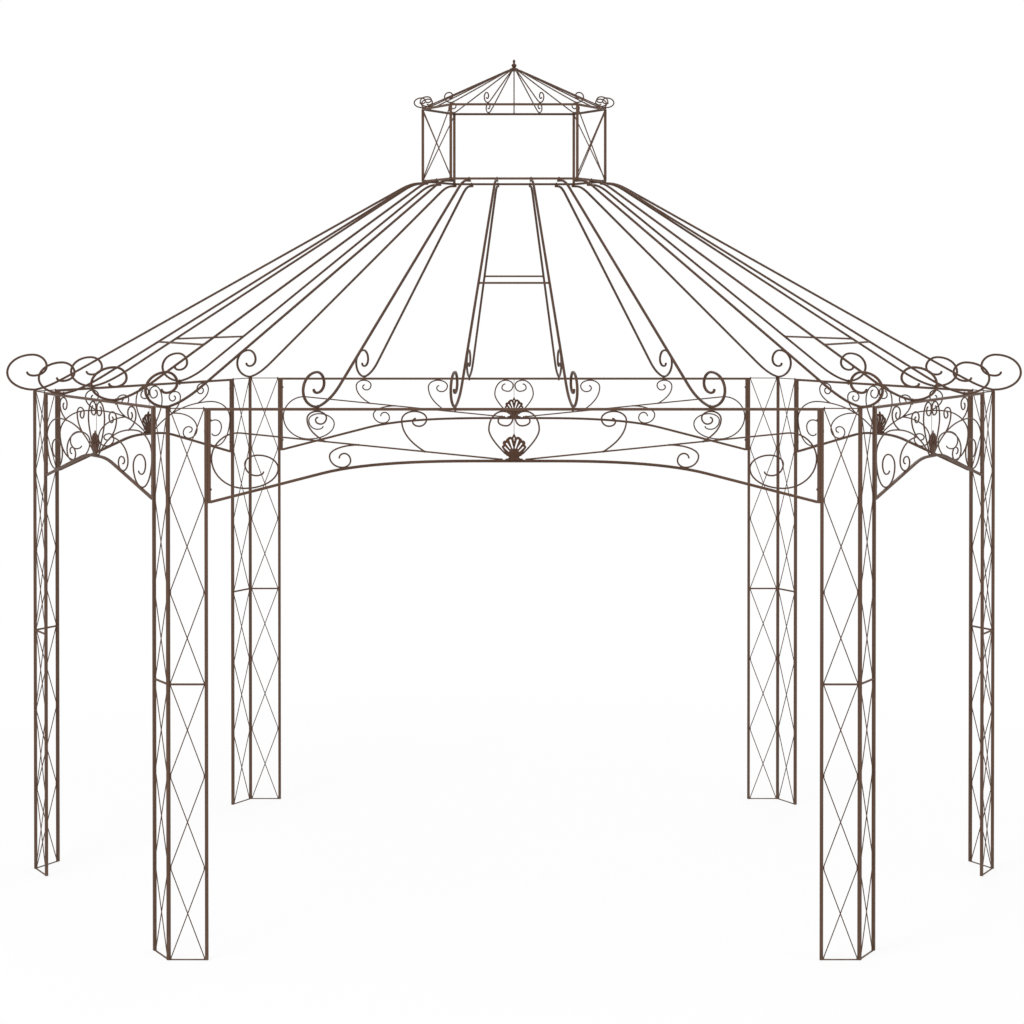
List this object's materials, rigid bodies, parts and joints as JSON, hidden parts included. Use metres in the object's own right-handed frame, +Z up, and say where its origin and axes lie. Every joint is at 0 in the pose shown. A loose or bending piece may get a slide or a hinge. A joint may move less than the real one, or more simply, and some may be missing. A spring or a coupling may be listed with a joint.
{
  "type": "iron garden pavilion",
  "caption": "Open iron garden pavilion on a stretched six-sided plan, with lattice legs, scrolled arches, a roof of scroll-ended ribs and a small lantern.",
  "frame": {"origin": "on the ground at the middle of the plan", "axes": "+Z up, +X along the long axis to the right as seen from the front, the front face at -Y"},
  "size_m": [4.238, 2.805, 3.381],
  "materials": {
    "painted_iron": "satin",
    "painted_casting": "satin"
  },
  "bodies": {
    "root": {"arch_back": "painted_iron", "arch_back_left": "painted_iron", "arch_back_right": "painted_iron", "arch_front": "painted_iron", "arch_front_left": "painted_iron", "arch_front_right": "painted_iron", "arch_shells": "painted_casting", "corner_rib_back_left": "painted_iron", "corner_rib_back_right": "painted_iron", "corner_rib_front_left": "painted_iron", "corner_rib_front_right": "painted_iron", "corner_rib_left": "painted_iron", "corner_rib_right": "painted_iron", "finial": "painted_casting", "lantern_base_ring": "painted_iron", "lantern_crown": "painted_iron", "lantern_left_side": "painted_iron", "lantern_right_side": "painted_iron", "lantern_top_ring": "painted_iron", "leg_back_left_main_panel": "painted_iron", "leg_back_left_return_panel": "painted_iron", "leg_back_right_main_panel": "painted_iron", "leg_back_right_return_panel": "painted_iron", "leg_front_left_main_panel": "painted_iron", "leg_front_left_return_panel": "painted_iron", "leg_front_right_main_panel": "painted_iron", "leg_front_right_return_panel": "painted_iron", "leg_left_main_panel": "painted_iron", "leg_left_return_panel": "painted_iron", "leg_right_main_panel": "painted_iron", "leg_right_return_panel": "painted_iron", "roof_ladder_back": "painted_iron", "roof_ladder_back_left": "painted_iron", "roof_ladder_back_right": "painted_iron", "roof_ladder_front": "painted_iron", "roof_ladder_front_left": "painted_iron", "roof_ladder_front_right": "painted_iron", "single_rib_back_left": "painted_iron", "single_rib_back_right": "painted_iron", "single_rib_front_left": "painted_iron", "single_rib_front_right": "painted_iron"}
  },
  "joints": []
}
